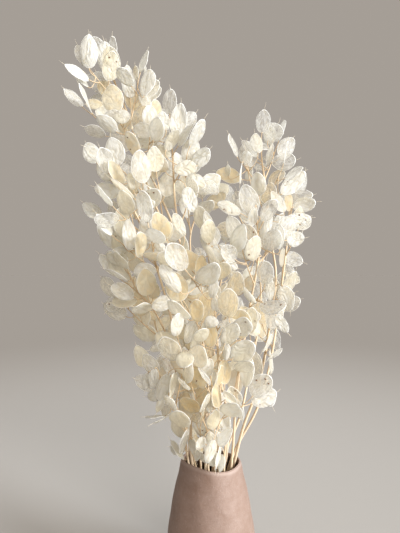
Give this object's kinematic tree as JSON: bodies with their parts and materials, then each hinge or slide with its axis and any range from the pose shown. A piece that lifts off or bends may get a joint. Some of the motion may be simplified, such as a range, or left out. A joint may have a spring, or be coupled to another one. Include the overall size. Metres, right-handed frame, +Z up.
{
  "type": "honesty seed pod stem",
  "caption": "Branching dried honesty stems with flat oval papery seed pods, standing as a tall spreading bouquet in a tapered clay vase with a waved lip.",
  "frame": {"origin": "middle of the vase's flat underside", "axes": "+Z up along the vase's axis, -Y towards the front, +X to the right seen from the front"},
  "size_m": [0.3573, 0.2682, 0.7907],
  "materials": {
    "clay": "matte, unglazed, fine grained",
    "bleached_pod": "bleached, papery and slightly silky"
  },
  "bodies": {
    "root": {"vase": "clay", "honesty_stem_01": "bleached_pod", "honesty_stem_02": "bleached_pod", "honesty_stem_03": "bleached_pod", "honesty_stem_04": "bleached_pod", "honesty_stem_05": "bleached_pod", "honesty_stem_06": "bleached_pod", "honesty_stem_07": "bleached_pod", "honesty_stem_08": "bleached_pod", "honesty_stem_09": "bleached_pod", "honesty_stem_10": "bleached_pod", "honesty_stem_11": "bleached_pod", "honesty_stem_12": "bleached_pod", "honesty_stem_13": "bleached_pod", "honesty_stem_14": "bleached_pod", "honesty_stem_15": "bleached_pod", "honesty_stem_16": "bleached_pod", "honesty_stem_17": "bleached_pod", "honesty_stem_18": "bleached_pod"}
  },
  "joints": []
}
